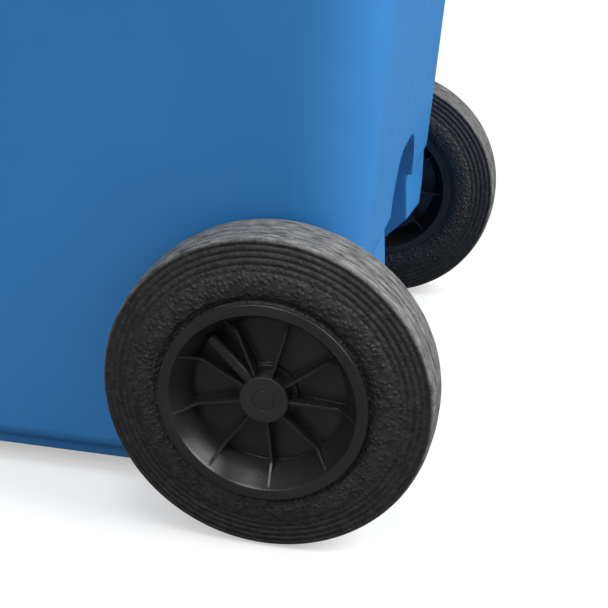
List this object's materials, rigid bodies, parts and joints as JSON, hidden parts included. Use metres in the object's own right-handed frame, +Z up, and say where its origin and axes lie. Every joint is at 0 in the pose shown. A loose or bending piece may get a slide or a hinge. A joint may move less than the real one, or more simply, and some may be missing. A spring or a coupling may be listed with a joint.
{
  "type": "wheelie bin",
  "caption": "Tapered upright refuse bin with a hinged domed lid, rear grips, a front lifting bar and rubber-tyred wheels on a steel axle.",
  "frame": {"origin": "on the floor, under the middle of the overall box, with the lid closed", "axes": "+Z up, -Y towards the front with the lifting bar, +Y towards the grips and wheels, +X to the right of someone facing the front"},
  "size_m": [0.48, 0.55, 0.937],
  "materials": {
    "tub_plastic": "satin moulded polyethylene, blue",
    "black_plastic": "satin moulded, near black",
    "wheel_plastic": "semi-gloss moulded, near black",
    "tyre_rubber": "grainy recycled rubber, scuffed tread",
    "soft_rubber": "matte",
    "plated_steel": "zinc plated"
  },
  "bodies": {
    "tub": {"body": "tub_plastic", "hinge_pin_left": "black_plastic", "hinge_pin_right": "black_plastic", "lid_buffer_left": "soft_rubber", "lid_buffer_right": "soft_rubber", "chip_plug": "black_plastic"},
    "lid": {"lid": "tub_plastic"},
    "axle": {"axle": "plated_steel"},
    "wheel_left": {"rim_left": "wheel_plastic", "tyre_left": "tyre_rubber", "hub_cap_left": "black_plastic", "latch_plug_left": "wheel_plastic", "latch_spring_left": "plated_steel"},
    "wheel_right": {"rim_right": "wheel_plastic", "tyre_right": "tyre_rubber", "hub_cap_right": "black_plastic", "latch_plug_right": "wheel_plastic", "latch_spring_right": "plated_steel"},
    "latch_left": {"latch_pin_left": "plated_steel"},
    "latch_right": {"latch_pin_right": "plated_steel"}
  },
  "joints": [
    {"name": "lid_hinge", "type": "hinge", "parent": "tub", "child": "lid", "pos_m": [0, 0.253, 0.89], "axis": [-1, 0, 0], "range_deg": [0, 270]},
    {"name": "axle_spin", "type": "hinge", "parent": "tub", "child": "axle", "pos_m": [0, 0.105, 0.1], "axis": [1, 0, 0], "continuous": true},
    {"name": "wheel_left_spin", "type": "hinge", "parent": "axle", "child": "wheel_left", "pos_m": [-0.21, 0.105, 0.1], "axis": [1, 0, 0], "continuous": true},
    {"name": "wheel_right_spin", "type": "hinge", "parent": "axle", "child": "wheel_right", "pos_m": [0.21, 0.105, 0.1], "axis": [1, 0, 0], "continuous": true},
    {"name": "latch_left_slide", "type": "slide", "parent": "wheel_left", "child": "latch_left", "axis": [0, -0.7034, 0.7108], "range_m": [0, 0.0025], "stiffness_N_per_m": 150, "springref_m": -0.008, "deforming": ["latch_spring_left"]},
    {"name": "latch_right_slide", "type": "slide", "parent": "wheel_right", "child": "latch_right", "axis": [0, -0.7034, 0.7108], "range_m": [0, 0.0025], "stiffness_N_per_m": 150, "springref_m": -0.008, "deforming": ["latch_spring_right"]}
  ]
}
